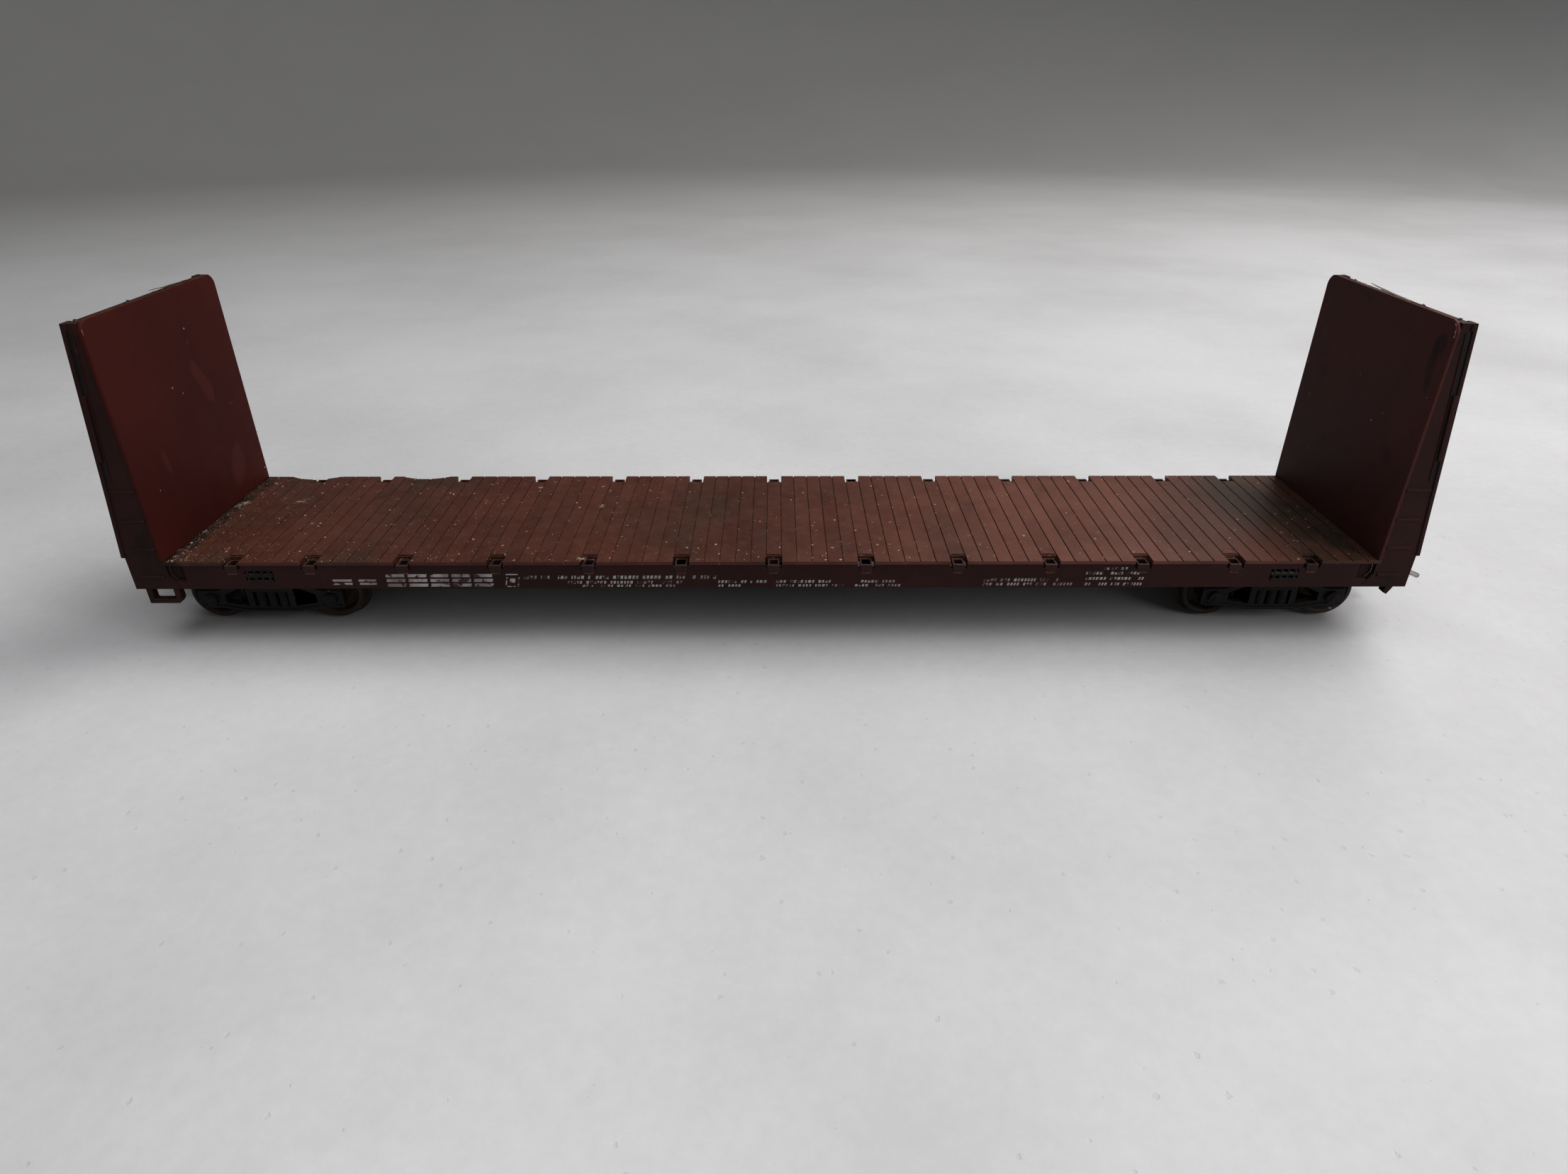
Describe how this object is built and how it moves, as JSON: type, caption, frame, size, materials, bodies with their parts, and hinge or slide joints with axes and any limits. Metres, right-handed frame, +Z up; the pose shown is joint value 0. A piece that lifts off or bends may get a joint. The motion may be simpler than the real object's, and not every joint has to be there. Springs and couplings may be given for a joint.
{
  "type": "model flat car",
  "caption": "Model railway bulkhead flat car with a grooved plank deck, stake pockets, ribbed end bulkheads, swivelling trucks and knuckle couplers.",
  "frame": {"origin": "midway between the trucks, on the plane that the wheel flanges touch", "axes": "+X along the car to its right end, +Y across the car to its far side, +Z up"},
  "size_m": [0.226, 0.0368, 0.0547],
  "materials": {
    "deck_plastic": "oxide red, dusty and grimy",
    "body_plastic": "satin oxide brown",
    "sheet_plastic": "satin oxide red with smears",
    "black_plastic": "matt black",
    "coupler_plastic": "dull dark brown",
    "wheel_plastic": "brown-tan acetal",
    "steel": "dull plated",
    "bronze": "spring bronze"
  },
  "bodies": {
    "car": {"air_reservoir": "black_plastic", "body_bolster_left": "black_plastic", "body_bolster_right": "black_plastic", "brake_cylinder": "black_plastic", "brake_housing": "black_plastic", "brake_rods": "black_plastic", "brake_wheel": "black_plastic", "bulkhead_frame_left": "body_plastic", "bulkhead_frame_right": "body_plastic", "bulkhead_sheet_left": "sheet_plastic", "bulkhead_sheet_right": "sheet_plastic", "centring_spring_left": "bronze", "centring_spring_right": "bronze", "control_valve": "black_plastic", "cut_lever_left": "steel", "cut_lever_right": "steel", "deck": "deck_plastic", "draft_box_left": "black_plastic", "draft_box_right": "black_plastic", "draft_lid_left": "black_plastic", "draft_lid_right": "black_plastic", "draft_screw_left": "steel", "draft_screw_right": "steel", "kingpin_screw_left": "steel", "kingpin_screw_right": "steel", "ladder_rungs_left": "body_plastic", "ladder_rungs_right": "body_plastic", "lever_eyes_left": "black_plastic", "lever_eyes_right": "black_plastic", "side_sill_far": "body_plastic", "side_sill_near": "body_plastic", "sill_steps": "body_plastic", "stake_pockets_far": "body_plastic", "stake_pockets_near": "body_plastic", "steel_weight": "steel", "underframe": "black_plastic", "winches": "body_plastic"},
    "truck_left": {"truck_frame_left": "black_plastic"},
    "wheelset_1": {"axle_1": "steel", "wheels_1": "wheel_plastic"},
    "wheelset_2": {"axle_2": "steel", "wheels_2": "wheel_plastic"},
    "coupler_left": {"coupler_left": "coupler_plastic", "knuckle_pin_left": "steel", "trip_pin_left": "steel"},
    "knuckle_left": {"knuckle_left": "coupler_plastic"},
    "truck_right": {"truck_frame_right": "black_plastic"},
    "wheelset_3": {"axle_3": "steel", "wheels_3": "wheel_plastic"},
    "wheelset_4": {"axle_4": "steel", "wheels_4": "wheel_plastic"},
    "coupler_right": {"coupler_right": "coupler_plastic", "knuckle_pin_right": "steel", "trip_pin_right": "steel"},
    "knuckle_right": {"knuckle_right": "coupler_plastic"}
  },
  "joints": [
    {"name": "truck_left_swivel", "type": "hinge", "parent": "car", "child": "truck_left", "pos_m": [-0.0876, 0, 0.0096], "axis": [0, 0, 1], "range_deg": [-12, 12]},
    {"name": "wheelset_1_spin", "type": "hinge", "parent": "truck_left", "child": "wheelset_1", "pos_m": [-0.0979, 0, 0.00545], "axis": [0, 1, 0], "continuous": true},
    {"name": "wheelset_2_spin", "type": "hinge", "parent": "truck_left", "child": "wheelset_2", "pos_m": [-0.0773, 0, 0.00545], "axis": [0, 1, 0], "continuous": true},
    {"name": "coupler_left_swing", "type": "hinge", "parent": "car", "child": "coupler_left", "pos_m": [-0.1006, 0, 0.0106], "axis": [0, 0, 1], "range_deg": [-10, 10], "stiffness_Nm_per_rad": 0.002},
    {"name": "knuckle_left_open", "type": "hinge", "parent": "coupler_left", "child": "knuckle_left", "pos_m": [-0.1097, -0.00175, 0.0106], "axis": [0, 0, 1], "range_deg": [0, 25], "stiffness_Nm_per_rad": 0.0005, "springref_deg": -5.73},
    {"name": "truck_right_swivel", "type": "hinge", "parent": "car", "child": "truck_right", "pos_m": [0.0876, 0, 0.0096], "axis": [0, 0, 1], "range_deg": [-12, 12]},
    {"name": "wheelset_3_spin", "type": "hinge", "parent": "truck_right", "child": "wheelset_3", "pos_m": [0.0773, 0, 0.00545], "axis": [0, 1, 0], "continuous": true},
    {"name": "wheelset_4_spin", "type": "hinge", "parent": "truck_right", "child": "wheelset_4", "pos_m": [0.0979, 0, 0.00545], "axis": [0, 1, 0], "continuous": true},
    {"name": "coupler_right_swing", "type": "hinge", "parent": "car", "child": "coupler_right", "pos_m": [0.1006, 0, 0.0106], "axis": [0, 0, 1], "range_deg": [-10, 10], "stiffness_Nm_per_rad": 0.002},
    {"name": "knuckle_right_open", "type": "hinge", "parent": "coupler_right", "child": "knuckle_right", "pos_m": [0.1097, 0.00175, 0.0106], "axis": [0, 0, 1], "range_deg": [0, 25], "stiffness_Nm_per_rad": 0.0005, "springref_deg": -5.73}
  ]
}
